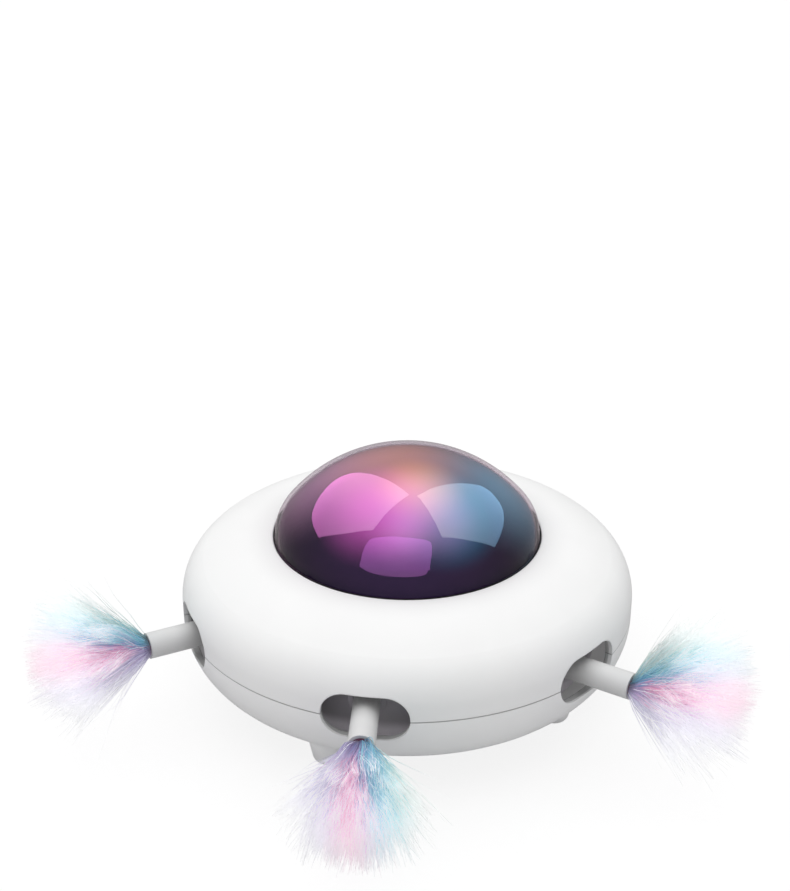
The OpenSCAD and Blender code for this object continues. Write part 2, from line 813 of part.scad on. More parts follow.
module control_board() {
    half = board_w / 2;
    tip = board_tip_w / 2;
    taper = board_far - 8.5;
    color("green") difference() {
        translate([0, 0, board_z]) linear_extrude(board_t) polygon([[-half, board_near],
            [half, board_near], [half, taper], [tip, board_far], [-tip, board_far], [-half, taper]]);
        for (p = board_posts) post(p, small_screw_d + 2 * hole_gap, board_z - cut, board_z + board_t + cut);
    }
}

module usb_port() {
    color("silver") translate([0, port_end, port_z]) rotate([90, 0, 0]) {
        linear_extrude(port_l) difference() {
            stadium(port_w, port_h);
            stadium(port_w - 2 * port_wall, port_h - 2 * port_wall);
        }
        translate([0, 0, port_l - 1]) linear_extrude(1) stadium(port_w, port_h);
        translate([0, 0, 1]) linear_extrude(port_l - 1.5) square([port_w - 3, 0.7], center = true);
    }
}

module tact_switch() {
    color("black") {
        translate([-switch_w / 2, button_at - switch_w / 2, switch_z])
            cube([switch_w, switch_w, board_z - switch_z]);
        post([0, button_at], 3.4, switch_stem_z, switch_z + 0.1);
    }
}

module board_screws() {
    color("silver") for (p = board_posts)
        screw_down(p, small_screw_d, board_z + board_t, board_t + 3.5);
}

module power_button() {
    cap_r = button_d / 2;
    cap_round = 0.8;
    z = foot_h - button_proud;
    color("lightgray") translate([0, button_at, 0]) rotate_extrude() {
        translate([0, z]) square([cap_r - cap_round, button_flange_top - z]);
        translate([0, z + cap_round]) square([cap_r, button_flange_top - z - cap_round]);
        translate([cap_r - cap_round, z + cap_round]) circle(cap_round);
        translate([0, button_flange_z]) square([cap_r + 2, button_flange_t]);
    }
}

module foot_pads() {
    color("darkgray") at_feet() post([0, 0], pad_d - 2 * hole_gap, 0, pad_t);
}

module housing_screws() {
    color("silver") for (az = column_az)
        screw_up(at(column_at, az), screw_d, column_seat_z, column_hole_top - column_seat_z - 1);
}

// Round bend in the upright plane, from the run outwards to the run upwards
module bend(r) {
    rotate([90, 0, 0]) rotate_extrude(angle = 90) translate([r, 0]) circle(cable_r);
}

module led_cable() {
    rise_z = cable_z + cable_bend;
    run_end = cable_reach - cable_end_bend;
    color("dimgray") to(cable_az - 90) {
        translate([0, 0, rise_z]) cylinder(r = cable_r, h = tray_floor_z - rise_z);
        translate([cable_bend, 0, rise_z]) rotate([0, 0, 180]) mirror([0, 0, 1]) bend(cable_bend);
        translate([cable_bend, 0, cable_z]) rotate([0, 90, 0])
            cylinder(r = cable_r, h = run_end - cable_bend);
        translate([run_end, 0, cable_z + cable_end_bend]) mirror([0, 0, 1]) bend(cable_end_bend);
        translate([cable_reach, 0, cable_z + cable_end_bend])
            cylinder(r = cable_r, h = board_z - cable_z - cable_end_bend);
    }
}

module wand_tube(i) {
    color("white") to_wand(wand_az[i]) translate([0, -tube_in, wand_z]) rotate([90, 0, 0]) difference() {
        cylinder(r = tube_r, h = tube_end - tube_in);
        translate([0, 0, -cut]) cylinder(r = tube_r - tube_wall, h = tube_end - tube_in + 2 * cut);
    }
}

module feather_plug(i) {
    color("indianred") to_wand(wand_az[i]) translate([0, -tube_end + plug_l, wand_z]) rotate([90, 0, 0])
        cylinder(r = plug_r, h = plug_l);
}

// Tuft of plumes: rays spread in rings from the plug's face, long and short ones in turn
module feather(i) {
    around = 36;
    rings = 6;
    tilt = feather_tilt[i];
    lengths = rands(0.84, 1, around * rings, 11 + i);
    // Direction of a ray at an angle from the tuft's axis, with its turn round that axis
    function ray(angle, turn) = [sin(angle) * cos(turn),
        -cos(angle) * cos(tilt) + sin(angle) * sin(turn) * sin(tilt),
        cos(angle) * sin(tilt) + sin(angle) * sin(turn) * cos(tilt)];
    function foot_of(share, turn) = plug_r * share * [cos(turn), 0, sin(turn)];
    function is_long(ring, j) = (ring + j) % 2 == 0;
    function tip(ring, j) = let (share = ring / rings, turn = 360 / around * j,
            angle = feather_fan * share * (is_long(ring, j) ? 1 : 0.9),
            reach = feather_l * (1 - 0.1 * share * share)
                * (lengths[(ring - 1) * around + j] - (is_long(ring, j) ? 0 : 0.2)))
        foot_of(share, turn) + reach * ray(angle, turn);
    points = concat([feather_l * ray(0, 0)],
        [for (ring = [1 : rings], j = [0 : around - 1]) tip(ring, j)],
        [for (j = [0 : around - 1]) foot_of(1, 360 / around * j)], [[0, 0, 0]]);
    function index(ring, j) = 1 + (ring - 1) * around + j % around;
    centre = len(points) - 1;
    faces = concat([for (j = [0 : around - 1]) [0, index(1, j), index(1, j + 1)]],
        [for (ring = [1 : rings], j = [0 : around - 1])
            [index(ring, j), index(ring + 1, j), index(ring + 1, j + 1)]],
        [for (ring = [1 : rings], j = [0 : around - 1])
            [index(ring, j), index(ring + 1, j + 1), index(ring, j + 1)]],
        [for (j = [0 : around - 1]) [centre, index(rings + 1, j + 1), index(rings + 1, j)]]);
    color(["skyblue", "plum", "pink"][i]) to_wand(wand_az[i]) translate([0, -tube_end, wand_z])
        polyhedron(points, faces);
}

upper_shell();
lower_shell();
dome();
dome_seal();
light_diffuser();
light_tray();
led_board();
leds();
tray_screws();
turntable();
turntable_gear();
hub_bush();
spindle();
thrust_washer();
retaining_clip();
idler_gear();
idler_axle();
motor();
motor_shaft();
motor_pinion();
drive_bracket();
bracket_screws();
motor_screws();
battery_cell();
battery_clamp();
clamp_screws();
control_board();
usb_port();
tact_switch();
board_screws();
power_button();
foot_pads();
housing_screws();
led_cable();
wand_tube(0);  // wand_tube_left
wand_tube(1);  // wand_tube_front
wand_tube(2);  // wand_tube_right
feather_plug(0);  // feather_plug_left
feather_plug(1);  // feather_plug_front
feather_plug(2);  // feather_plug_right
feather(0);  // feather_left
feather(1);  // feather_front
feather(2);  // feather_right
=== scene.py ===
import json
import math

import bpy
import numpy as np
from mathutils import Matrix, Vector


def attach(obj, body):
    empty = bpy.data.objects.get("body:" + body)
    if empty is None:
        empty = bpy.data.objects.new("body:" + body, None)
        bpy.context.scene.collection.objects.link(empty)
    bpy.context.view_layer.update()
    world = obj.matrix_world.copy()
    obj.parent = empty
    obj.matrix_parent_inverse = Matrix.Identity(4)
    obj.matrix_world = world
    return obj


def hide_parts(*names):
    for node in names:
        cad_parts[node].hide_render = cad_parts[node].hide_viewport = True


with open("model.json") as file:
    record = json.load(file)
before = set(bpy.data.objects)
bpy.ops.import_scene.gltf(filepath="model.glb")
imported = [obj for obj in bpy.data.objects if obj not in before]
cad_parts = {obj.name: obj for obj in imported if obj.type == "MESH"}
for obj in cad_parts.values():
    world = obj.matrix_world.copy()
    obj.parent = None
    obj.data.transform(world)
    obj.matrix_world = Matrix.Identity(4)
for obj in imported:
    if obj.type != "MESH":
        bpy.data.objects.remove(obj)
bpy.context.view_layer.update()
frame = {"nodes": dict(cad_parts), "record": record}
cadNodes = frame["nodes"]
print("frame loaded,", len(cadNodes), "nodes")

# camera: the object's axis lands on a known pixel of the picture
cameraSet = {
    "azimuth": 10.0, "elevation": 30.6, "distance": 0.7281, "target": (0.0, 0.0, 0.039),
    "focalPixels": 1800.0, "targetPixel": (407.3, 596.5), "picture": (790, 891),
    "sensor": 36.0, "clip": (0.01, 50.0),
}


def makeCamera(c):
    azimuth, elevation = math.radians(c["azimuth"]), math.radians(c["elevation"])
    back = Vector((math.sin(azimuth) * math.cos(elevation), -math.cos(azimuth) * math.cos(elevation),
                   math.sin(elevation)))
    data = bpy.data.cameras.new("camera")
    wide, high = c["picture"]
    data.sensor_width = c["sensor"]
    data.lens = c["focalPixels"] / high * c["sensor"]  # the sensor spans the long side
    data.shift_x = (wide / 2 - c["targetPixel"][0]) / high
    data.shift_y = (c["targetPixel"][1] - high / 2) / high
    data.clip_start, data.clip_end = c["clip"]
    camera = bpy.data.objects.new("camera", data)
    bpy.context.scene.collection.objects.link(camera)
    camera.rotation_mode = "QUATERNION"
    camera.location = Vector(c["target"]) + back * c["distance"]
    camera.rotation_quaternion = (-back).to_track_quat("-Z", "Y")
    bpy.context.scene.camera = camera


makeCamera(cameraSet)
print("camera set")


# material helpers
def newMaterial(name):
    material = bpy.data.materials.new(name)
    material.use_nodes = True
    return material, material.node_tree, material.node_tree.nodes["Principled BSDF"]


# an input takes a value, or a link where it is given another node's socket
def addNode(tree, kind, inputs=None, **settings):
    node = tree.nodes.new(kind)
    for key, value in settings.items():
        setattr(node, key, value)
    for key, value in (inputs or {}).items():
        if isinstance(value, bpy.types.NodeSocket):
            tree.links.new(value, node.inputs[key])
        else:
            node.inputs[key].default_value = value
    return node


def setSockets(shader, values):
    for key, value in values.items():
        shader.inputs[key].default_value = value


def numberStep(tree, operation, *values):
    return addNode(tree, "ShaderNodeMath", dict(enumerate(values)), operation=operation).outputs[0]


def vectorStep(tree, operation, *values, output="Vector"):
    node = addNode(tree, "ShaderNodeVectorMath", dict(enumerate(values)), operation=operation)
    return node.outputs[output]


def scaledBy(tree, colour, share):
    node = addNode(tree, "ShaderNodeVectorMath", {0: colour, "Scale": share}, operation="SCALE")
    return node.outputs["Vector"]


# the colour sockets of this node are found by number: 6 and 7 go in, 2 comes out
def mixedColour(tree, share, first, second):
    node = addNode(tree, "ShaderNodeMix", {0: share, 6: first, 7: second}, data_type="RGBA")
    return node.outputs[2]


def colourRamp(tree, factor, stops):
    node = addNode(tree, "ShaderNodeValToRGB", {"Fac": factor})
    node.color_ramp.interpolation = "EASE"
    while len(node.color_ramp.elements) < len(stops):
        node.color_ramp.elements.new(0.5)  # its place is set below
    for element, (place, colour) in zip(node.color_ramp.elements, stops):
        element.position = place
        element.color = (*colour, 1.0)
    return node.outputs["Color"]


def mapped(tree, value, low, high, toLow, toHigh, smooth=False):
    kind = "SMOOTHSTEP" if smooth else "LINEAR"
    node = addNode(tree, "ShaderNodeMapRange", {"Value": value, "From Min": low, "From Max": high,
                   "To Min": toLow, "To Max": toHigh}, interpolation_type=kind)
    return node.outputs["Result"]


def objectPoint(tree):
    return addNode(tree, "ShaderNodeTexCoord").outputs["Object"]


def heightOf(tree, point):
    return addNode(tree, "ShaderNodeSeparateXYZ", {"Vector": point}).outputs["Z"]


# distance from the upright axis
def flatRadius(tree, point):
    flat = vectorStep(tree, "MULTIPLY", point, (1.0, 1.0, 0.0))
    return vectorStep(tree, "LENGTH", flat, output="Value")


def noise(tree, point, size, detail):
    node = addNode(tree, "ShaderNodeTexNoise", {"Vector": point, "Scale": size, "Detail": detail})
    return node.outputs["Fac"]


# two shades of one colour that follow a noise
def cloudedColour(tree, cloud, colour, darker, edges):
    dark = tuple(c * (1 - darker) for c in colour)
    return colourRamp(tree, cloud, [(edges[0], dark), (edges[1], colour)])


# moulded plastic: faint clouds in the colour, uneven gloss, a fine spark-eroded grain, soft edges
plasticSet = {"clouds": 40.0, "cloudDetail": 3.0, "colourEdges": (0.35, 0.65), "glossEdges": (0.3, 0.7),
              "grainDetail": 2.0, "bump": 0.35, "bevelSamples": 4, "coatGloss": 0.12}


def plastic(name, colour, darker=0.03, gloss=(0.3, 0.4), grain=1400.0, depth=0.00001, edge=0.0, coat=0.0,
            specular=0.5, shade=None, inner=None, innerStrength=0.0):
    p = plasticSet
    material, tree, shader = newMaterial(name)
    point = objectPoint(tree)
    cloud = noise(tree, point, p["clouds"], p["cloudDetail"])
    base = cloudedColour(tree, cloud, colour, darker, p["colourEdges"])
    if shade is not None:
        base = scaledBy(tree, base, shade(tree, point))
    tree.links.new(base, shader.inputs["Base Color"])
    tree.links.new(mapped(tree, cloud, *p["glossEdges"], *gloss), shader.inputs["Roughness"])
    fine = noise(tree, point, grain, p["grainDetail"])
    bump = addNode(tree, "ShaderNodeBump", {"Height": fine, "Strength": p["bump"], "Distance": depth})
    if edge > 0:
        soft = addNode(tree, "ShaderNodeBevel", {"Radius": edge}, samples=p["bevelSamples"])
        tree.links.new(soft.outputs["Normal"], bump.inputs["Normal"])
    tree.links.new(bump.outputs["Normal"], shader.inputs["Normal"])
    setSockets(shader, {"Coat Weight": coat, "Coat Roughness": p["coatGloss"],
                        "Specular IOR Level": specular})
    # a painted glow, when the finish gives one
    if inner is not None:
        tree.links.new(inner(tree, point), shader.inputs["Emission Color"])
        shader.inputs["Emission Strength"].default_value = innerStrength
    return material


# drawn or turned metal: fine lines round the upright axis and uneven gloss
metalSet = {"lines": 900.0, "stretch": (1.0, 1.0, 12.0), "detail": 2.0, "darker": 0.2, "edges": (0.3, 0.7),
            "gloss": (0.25, 0.4)}


def metal(name, colour, m=metalSet):
    material, tree, shader = newMaterial(name)
    drawn = addNode(tree, "ShaderNodeMapping", {"Vector": objectPoint(tree), "Scale": m["stretch"]})
    streak = noise(tree, drawn.outputs["Vector"], m["lines"], m["detail"])
    base = cloudedColour(tree, streak, colour, m["darker"], m["edges"])
    tree.links.new(base, shader.inputs["Base Color"])
    tree.links.new(mapped(tree, streak, *m["edges"], *m["gloss"]), shader.inputs["Roughness"])
    shader.inputs["Metallic"].default_value = 1.0
    return material


# shades of the white shells: a darker line along their joint, painted shade on the walls of the slots and in
# a ring round the foot of the dome, and painted light that makes the feet a little whiter than the rest
shellJointAndShadeSet = {"height": 0.0390, "half": (0.00012, 0.00032), "jointDarkness": 0.55,
            "slotHeight": 0.03975, "slotHalf": (0.0095, 0.0105), "skin": (0.0880, 0.0888), "inside": 0.56,
            "domeFoot": (0.0525, 0.0660), "domeFootShade": 0.925, "feet": (0.0105, 0.0135), "feetPaintedLight": 1.13}


def shellJointAndPaintedShade(tree, point, j=shellJointAndShadeSet):
    height, radius = heightOf(tree, point), flatRadius(tree, point)

    def away(level):
        return numberStep(tree, "ABSOLUTE", numberStep(tree, "SUBTRACT", height, level))

    # painted shade on the walls of the slots: darker inside the outer skin, near the slots' height
    deep = mapped(tree, radius, *j["skin"], 1.0 - j["inside"], 0.0, True)
    level = mapped(tree, away(j["slotHeight"]), *j["slotHalf"], 1.0, 0.0, True)
    shade = numberStep(tree, "SUBTRACT", 1.0, numberStep(tree, "MULTIPLY", deep, level))
    # a darker line along the joint of the shells
    jointDarkness = mapped(tree, away(j["height"]), *j["half"], j["jointDarkness"], 1.0, True)
    # painted shade in a ring round the foot of the dome
    domeFootShade = mapped(tree, radius, *j["domeFoot"], j["domeFootShade"], 1.0, True)
    # painted light: the feet a little whiter than the rest
    feet = mapped(tree, height, *j["feet"], j["feetPaintedLight"], 1.0, True)
    for part in (jointDarkness, domeFootShade, feet):
        shade = numberStep(tree, "MULTIPLY", shade, part)
    return shade


# painted glow: emission stands in for light that comes through the white plastic; it shows below the slots,
# on faces that look towards the middle of the body
innerSet = {"middle": (0.0, 0.0, 0.0398), "facing": (-0.55, -0.25), "fade": (0.024, 0.034),
            "colour": (1.0, 1.0, 0.99)}


def innerLight(tree, point, i=innerSet):
    outward = vectorStep(tree, "NORMALIZE", vectorStep(tree, "SUBTRACT", point, i["middle"]))
    normal = addNode(tree, "ShaderNodeTexCoord").outputs["Normal"]
    facing = vectorStep(tree, "DOT_PRODUCT", outward, normal, output="Value")
    inwards = mapped(tree, facing, *i["facing"], 1.0, 0.0, True)
    below = mapped(tree, heightOf(tree, point), *i["fade"], 1.0, 0.0, True)
    return scaledBy(tree, i["colour"], numberStep(tree, "MULTIPLY", inwards, below))


# painted shadow on the tubes where they run in the slots: darker towards the body
tubeShadowSet = {"reach": (0.0860, 0.0985), "least": 0.75}


def tubeShade(tree, point, d=tubeShadowSet):
    return mapped(tree, flatRadius(tree, point), *d["reach"], d["least"], 1.0, True)


# painted light and shade on the drum: lighter at its lower edge, darker above it
drumPaintedLight = {"height": (0.0255, 0.0305), "least": 0.74, "most": 1.50}


def drumShade(tree, point, d=drumPaintedLight):
    return mapped(tree, heightOf(tree, point), *d["height"], d["most"], d["least"], True)


# plastics and rubbers, by the slot that a node takes its finish from
plasticFinishes = {
    "shell_white": {"name": "shellWhite", "colour": (0.866, 0.867, 0.866), "darker": 0.012,
                    "gloss": (0.42, 0.5), "grain": 1500.0, "depth": 0.000006, "edge": 0.0007,
                    "specular": 0.1, "shade": shellJointAndPaintedShade, "inner": innerLight, "innerStrength": 0.09},
    "tube_white": {"name": "tubeWhite", "colour": (0.67, 0.67, 0.67), "darker": 0.02, "gloss": (0.36, 0.44),
                   "grain": 1800.0, "depth": 0.000005, "edge": 0.0004, "specular": 0.25, "shade": tubeShade},
    "turntable_grey": {"name": "drumGrey", "colour": (0.56, 0.53, 0.57), "darker": 0.1, "gloss": (0.42, 0.55),
                       "grain": 1200.0, "depth": 0.00002, "edge": 0.0004, "shade": drumShade},
    "seal_rubber": {"name": "sealBlack", "colour": (0.012, 0.011, 0.014), "darker": 0.3, "gloss": (0.35, 0.5),
                    "grain": 900.0},
    "tray_white": {"name": "trayGrey", "colour": (0.06, 0.05, 0.065), "darker": 0.2, "gloss": (0.45, 0.6)},
    "board_green": {"name": "boardLacquer", "colour": (0.02, 0.16, 0.06), "darker": 0.35,
                    "gloss": (0.2, 0.35), "grain": 700.0, "coat": 0.4},
    "lamp_clear": {"name": "lampBody", "colour": (0.9, 0.86, 0.66), "darker": 0.1, "gloss": (0.15, 0.25),
                   "grain": 900.0},
    "gear_ivory": {"name": "gearIvory", "colour": (0.78, 0.73, 0.58), "darker": 0.08, "gloss": (0.35, 0.5),
                   "grain": 1100.0, "edge": 0.0002},
    "bracket_blue": {"name": "bracketGrey", "colour": (0.30, 0.37, 0.44), "darker": 0.1,
                     "gloss": (0.45, 0.6)},
    "cell_wrap": {"name": "cellSleeve", "colour": (0.05, 0.12, 0.42), "darker": 0.15, "gloss": (0.2, 0.3),
                  "grain": 500.0},
    "switch_black": {"name": "switchBlack", "colour": (0.02, 0.02, 0.02), "darker": 0.3,
                     "gloss": (0.4, 0.55)},
    "button_grey": {"name": "buttonGrey", "colour": (0.45, 0.45, 0.47), "darker": 0.06, "gloss": (0.4, 0.5),
                    "edge": 0.0003},
    "pad_rubber": {"name": "padRubber", "colour": (0.1, 0.1, 0.105), "darker": 0.2, "gloss": (0.6, 0.75),
                   "grain": 800.0, "depth": 0.00003},
    "cable_grey": {"name": "cableSleeve", "colour": (0.06, 0.06, 0.062), "darker": 0.2, "gloss": (0.5, 0.6)},
    "plug_thread": {"name": "stemGlue", "colour": (0.42, 0.16, 0.24), "darker": 0.4, "gloss": (0.5, 0.7),
                    "grain": 600.0, "depth": 0.00005},
}
metalFinishes = {
    "steel": {"name": "plainSteel", "colour": (0.62, 0.62, 0.63)},
    "bush_brass": {"name": "plainBrass", "colour": (0.78, 0.58, 0.24)},
}

# clear smoky dome: a thin clear wall that hardly bends the light, glossy on its outer face only
domeSet = {"tint": (0.80, 0.70, 0.78), "darker": 0.03, "waves": 18.0, "waveDetail": 1.0, "edges": (0.3, 0.7),
           "gloss": (0.0, 0.01), "ior": 1.005, "coat": 1.0, "coatGloss": 0.01, "sheen": 0.5,
           "sheenGloss": 0.25, "sheenTint": (1.0, 0.86, 0.93, 1.0)}


def domeClear(d):
    material, tree, shader = newMaterial("domeClear")
    wave = noise(tree, objectPoint(tree), d["waves"], d["waveDetail"])
    base = cloudedColour(tree, wave, d["tint"], d["darker"], d["edges"])
    tree.links.new(base, shader.inputs["Base Color"])
    tree.links.new(mapped(tree, wave, *d["edges"], *d["gloss"]), shader.inputs["Roughness"])
    setSockets(shader, {"Transmission Weight": 1.0, "IOR": d["ior"], "Coat Weight": d["coat"],
                        "Coat Roughness": d["coatGloss"], "Sheen Weight": d["sheen"],
                        "Sheen Roughness": d["sheenGloss"], "Sheen Tint": d["sheenTint"]})
    inside = addNode(tree, "ShaderNodeNewGeometry").outputs["Backfacing"]
    tree.links.new(mapped(tree, inside, 0.0, 1.0, d["coat"], 0.0), shader.inputs["Coat Weight"])
    return material


# lamp cover: coloured lamps glow through it in soft pools on a dark plum ground
glowSet = {
    "ground": (0.020, 0.011, 0.024), "darker": 0.2, "clouds": 30.0, "cloudDetail": 2.0, "edges": (0.3, 0.7),
    "gloss": 0.6, "specular": 0.1, "strength": 1.0,
    "lamps": [  # centre in metres, reach in metres, colour
        ((-0.0071, -0.0269, 0.0935), 0.027, (0.70, 0.13, 0.56)),
        ((0.0043, -0.0370, 0.0876), 0.016, (0.26, 0.12, 0.26)),
        ((0.0137, -0.0266, 0.0924), 0.023, (0.36, 0.00, 0.09)),
        ((0.0069, -0.0157, 0.0977), 0.021, (0.57, 0.28, 0.10)),
        ((0.0171, -0.0241, 0.0926), 0.027, (0.00, 0.34, 0.51)),
        ((0.0336, 0.0074, 0.0897), 0.038, (0.14, 0.31, 0.39)),
        ((-0.0048, 0.0038, 0.0999), 0.039, (0.57, 0.32, 0.25)),
        ((-0.0334, -0.0030, 0.0902), 0.034, (0.34, 0.20, 0.30)),
        ((0.0043, -0.0335, 0.0900), 0.065, (0.025, 0.012, 0.055)),
    ],
}


def lampCover(g):
    material, tree, shader = newMaterial("lampCover")
    point = objectPoint(tree)
    cloud = noise(tree, point, g["clouds"], g["cloudDetail"])
    base = cloudedColour(tree, cloud, g["ground"], g["darker"], g["edges"])
    tree.links.new(base, shader.inputs["Base Color"])
    total = (0.0, 0.0, 0.0)
    for centre, reach, colour in g["lamps"]:
        away = vectorStep(tree, "DISTANCE", point, centre, output="Value")
        pool = mapped(tree, away, 0.0, reach, 1.0, 0.0, True)
        total = vectorStep(tree, "ADD", total, scaledBy(tree, colour, pool))
    tree.links.new(total, shader.inputs["Emission Color"])
    setSockets(shader, {"Emission Strength": g["strength"], "Roughness": g["gloss"],
                        "Specular IOR Level": g["specular"]})
    return material


finishes = {slot: plastic(**look) for slot, look in plasticFinishes.items()}
finishes.update({slot: metal(**look) for slot, look in metalFinishes.items()})
finishes["dome_smoke"] = domeClear(domeSet)
finishes["diffuser_milk"] = lampCover(glowSet)

for row in frame["record"]["subparts"]:
    if row["material_slot"] in finishes:
        data = cadNodes[row["node"]].data
        data.materials.clear()
        data.materials.append(finishes[row["material_slot"]])
for name in ("upper_shell", "wand_tube_left", "wand_tube_front", "wand_tube_right"):
    cadNodes[name].visible_glossy = False  # keeps the crown and the wands out of the dome's reflections
print("finishes on the nodes:", len(finishes))


def meshPiece(name, points, faces, material):
    mesh = bpy.data.meshes.new(name)
    mesh.from_pydata(points.reshape(-1, 3), [], faces)
    mesh.update()
    mesh.polygons.foreach_set("use_smooth", np.ones(len(mesh.polygons), bool))
    mesh.materials.append(material)
    piece = bpy.data.objects.new(name, mesh)
    bpy.context.scene.collection.objects.link(piece)
    return piece


# feather tufts: every strand is a thin tapering three-sided thread along a bent path
tuftSet = {
    # how many strands, points along each, and the locks that most of them lie in
    "strands": 4400, "rings": 7, "locks": 80, "lockReach": (0.78, 1.05), "loose": 0.38, "gather": 0.72,
    # the fan: how soft and wide its edge is, how far its strands scatter, and the few strays, in degrees
    "soft": 0.50, "widestShare": 1.3, "spread": 0.075, "strayShare": 0.012, "strayFan": 12.0, "widest": 46.0,
    # the path: its bend and waves, how strands differ in length, its droop, and how it meets root and floor
    "bend": (0.85, 1.45), "wave": 0.0034, "beat": (0.45, 1.1), "shortest": 0.76, "evenness": 0.7,
    "middleReach": 1.03, "edgeLoss": 0.06, "droop": 0.05, "rootSpread": 0.006, "rootGap": 0.0002,
    "tiltStart": 0.5, "tiltRate": 2.0, "lowest": 0.0022, "landing": 0.002,
    # the thread: its width, how strands differ in it, its taper, and a direction that no strand runs along
    "width": 0.00016, "thinnest": 0.6, "widthRange": 0.8, "taper": 0.74, "rootWidth": 0.5, "rootRate": 3.0,
    "sideways": (0.3, 0.2, 0.93), "cornerTurn": 6.0,
    # the dye: how far the colours mix, and the undyed strands
    "mixed": 0.065, "pale": 0.035, "paleFrom": 0.85,
}
# azimuth of the slot; tilt, half angle and length of the tuft; radius of its root and how far it sits below
# the tube's axis; turn of the colours round its axis and how late they pale
tufts = {
    "left": {"azimuth": -60.0, "tilt": 11.0, "fan": 32.0, "length": 0.0465, "rootRadius": 0.0032,
             "rootDrop": 0.0, "colourTurn": 120.0, "fade": 0.92, "seed": 21},
    "front": {"azimuth": 0.0, "tilt": -20.0, "fan": 33.0, "length": 0.0412, "rootRadius": 0.0035,
              "rootDrop": 0.0011, "colourTurn": 0.0, "fade": 1.65, "seed": 22},
    "right": {"azimuth": 60.0, "tilt": 18.0, "fan": 32.5, "length": 0.0465, "rootRadius": 0.0032,
              "rootDrop": 0.0, "colourTurn": 60.0, "fade": 0.90, "seed": 23},
}
# height of the wands' axes, reach of the tubes, radius of the slots' middle, and slant in degrees
wandSet = {"height": 0.0398, "end": 0.1075, "slotRadius": 0.0885, "slant": 7.0}

# dyes across the fan of a tuft, at four places along its strands; the dark dyes at the roots are also
# painted shade deep in the tuft
plumeSet = {
    "dyesAndRootShade": [
        # dark dyes at the roots: dye, and painted shade of the tuft's depth
        (0.02, [(0.00, (0.56, 0.52, 0.74)), (0.30, (0.34, 0.29, 0.54)), (0.44, (0.20, 0.15, 0.36)),
                (0.55, (0.12, 0.18, 0.42)), (0.66, (0.11, 0.38, 0.58)), (0.85, (0.26, 0.56, 0.68)),
                (1.00, (0.58, 0.78, 0.80))]),
        (0.26, [(0.00, (0.80, 0.78, 0.90)), (0.26, (0.64, 0.60, 0.80)), (0.40, (0.60, 0.44, 0.70)),
                (0.50, (0.52, 0.40, 0.68)), (0.58, (0.26, 0.50, 0.76)), (0.74, (0.24, 0.64, 0.78)),
                (0.89, (0.58, 0.84, 0.86)), (1.00, (0.84, 0.95, 0.92))]),
        (0.52, [(0.00, (0.88, 0.87, 0.94)), (0.28, (0.76, 0.73, 0.88)), (0.39, (0.90, 0.58, 0.76)),
                (0.47, (0.93, 0.45, 0.68)), (0.56, (0.74, 0.62, 0.84)), (0.64, (0.36, 0.68, 0.84)),
                (0.77, (0.46, 0.80, 0.87)), (0.89, (0.76, 0.92, 0.91)), (1.00, (0.92, 0.97, 0.95))]),
        (0.95, [(0.00, (0.95, 0.95, 0.97)), (0.28, (0.91, 0.90, 0.96)), (0.45, (0.98, 0.78, 0.86)),
                (0.60, (0.96, 0.87, 0.93)), (0.71, (0.80, 0.90, 0.96)), (0.86, (0.87, 0.95, 0.96)),
                (1.00, (0.96, 0.98, 0.97))]),
    ],
    # painted glow of the barbs: its strength, and where along the strands it rises from its least
    "paintedBarbGlow": 0.27, "paintedBarbGlowFrom": 0.58, "paintedBarbGlowRoot": 0.04,
    "gloss": 0.7, "sheen": 0.25, "sheenGloss": 0.4, "specular": 0.2,
}


def plumes(p):
    material, tree, shader = newMaterial("plumes")
    uv = addNode(tree, "ShaderNodeUVMap", uv_map="plume")
    part = addNode(tree, "ShaderNodeSeparateXYZ", {"Vector": uv.outputs["UV"]})
    across, along = part.outputs["X"], part.outputs["Y"]
    before, dye = None, None
    for place, stops in p["dyesAndRootShade"]:
        ramp = colourRamp(tree, across, stops)
        if dye is not None:
            ramp = mixedColour(tree, mapped(tree, along, before, place, 0.0, 1.0, True), dye, ramp)
        before, dye = place, ramp
    tree.links.new(dye, shader.inputs["Base Color"])
    # painted glow: emission stands in for light that wanders through the fine barbs, more of it where they
    # stand apart
    share = mapped(tree, along, p["paintedBarbGlowFrom"], 1.0, p["paintedBarbGlowRoot"], 1.0)
    tree.links.new(scaledBy(tree, dye, share), shader.inputs["Emission Color"])
    setSockets(shader, {"Emission Strength": p["paintedBarbGlow"], "Roughness": p["gloss"],
                        "Sheen Weight": p["sheen"], "Sheen Roughness": p["sheenGloss"],
                        "Specular IOR Level": p["specular"]})
    return material


